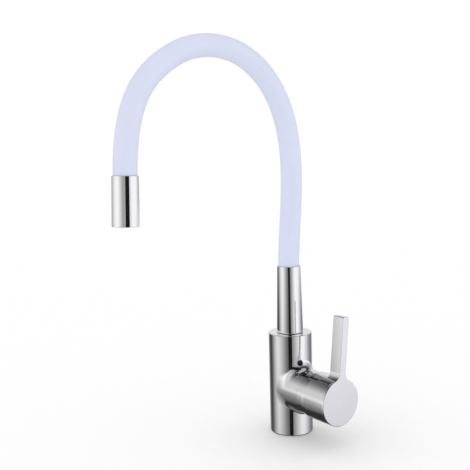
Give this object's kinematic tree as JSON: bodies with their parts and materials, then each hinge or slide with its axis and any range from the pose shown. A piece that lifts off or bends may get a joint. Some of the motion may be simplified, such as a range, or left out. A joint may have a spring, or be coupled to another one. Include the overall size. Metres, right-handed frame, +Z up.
{
  "type": "kitchen faucet",
  "caption": "Single-lever kitchen faucet: chrome body with a side lever and a tall bendable gooseneck spout in a pale lavender silicone sleeve.",
  "frame": {"origin": "centre of the body's base face, where it stands on the deck", "axes": "+Z up along the body, -Y the way the spout reaches out, +X out along the handle's axis"},
  "size_m": [0.1043, 0.2371, 0.4312],
  "materials": {
    "chrome_body": "polished chrome plate",
    "chrome_trim": "polished chrome plate",
    "silicone": "smooth satin silicone",
    "bare_brass": "machined",
    "steel": "plain",
    "black_rubber": "matte",
    "white_plastic": "moulded",
    "blue_plastic": "moulded",
    "ceramic": "lapped ceramic",
    "dark_plastic": "glossy"
  },
  "bodies": {
    "faucet": {"faucet_body": "chrome_body", "deck_gasket": "black_rubber", "indicator_button": "dark_plastic", "spout_grub_screw": "steel", "cartridge_base_plate": "white_plastic", "port_seal_hot": "black_rubber", "port_seal_cold": "black_rubber", "port_seal_outlet": "black_rubber", "fixed_ceramic_disc": "ceramic", "cartridge_housing": "blue_plastic", "retaining_nut": "bare_brass", "bonnet_ring": "chrome_trim"},
    "spindle_turret": {"spindle_guide": "white_plastic", "pivot_pin": "steel"},
    "disc_slider": {"moving_ceramic_disc": "ceramic", "disc_carrier": "blue_plastic"},
    "lever_handle": {"spindle_lever": "bare_brass", "handle": "chrome_body", "handle_set_screw": "steel"},
    "spout": {"spout_base": "bare_brass", "o_ring_lower": "black_rubber", "o_ring_upper": "black_rubber", "glide_washer": "white_plastic", "neck_sleeve": "chrome_trim", "lower_crimp_ring": "steel", "hose_sleeve_riser": "silicone", "gooseneck_core_riser": "steel", "water_tube_riser": "white_plastic", "hose_sleeve_arch": "silicone", "gooseneck_core_arch": "steel", "water_tube_arch": "white_plastic"},
    "outlet": {"hose_sleeve_drop": "silicone", "gooseneck_core_drop": "steel", "water_tube_drop": "white_plastic", "outlet_sleeve": "chrome_trim", "upper_crimp_ring": "steel", "outlet_adapter": "bare_brass", "aerator_washer": "black_rubber", "aerator_insert": "white_plastic", "aerator_housing": "chrome_trim"}
  },
  "joints": [
    {"name": "spout_swivel", "type": "hinge", "parent": "faucet", "child": "spout", "pos_m": [0, 0, 0.1126], "axis": [0, 0, 1], "continuous": true},
    {"name": "spout_bend", "type": "hinge", "parent": "spout", "child": "outlet", "pos_m": [0, -0.09837, 0.41999], "axis": [-1, 0, 0], "range_deg": [-20, 40], "deforming": ["hose_sleeve_arch", "gooseneck_core_arch", "water_tube_arch"]},
    {"name": "handle_mix", "type": "hinge", "parent": "faucet", "child": "spindle_turret", "pos_m": [0, 0, 0.0512], "axis": [1, 0, 0], "range_deg": [-39.3, 50.7]},
    {"name": "handle_lift", "type": "hinge", "parent": "spindle_turret", "child": "lever_handle", "pos_m": [0.025, 0, 0.0512], "axis": [0, 0.9951, -0.0993], "range_deg": [0, 20]},
    {"name": "disc_slide", "type": "slide", "parent": "spindle_turret", "child": "disc_slider", "axis": [0, 0.0993, 0.9951], "range_m": [0, 0.0025]}
  ],
  "couplings": [
    {"joint": "disc_slide", "follows": "handle_lift", "m_per_rad": 0.0069}
  ]
}
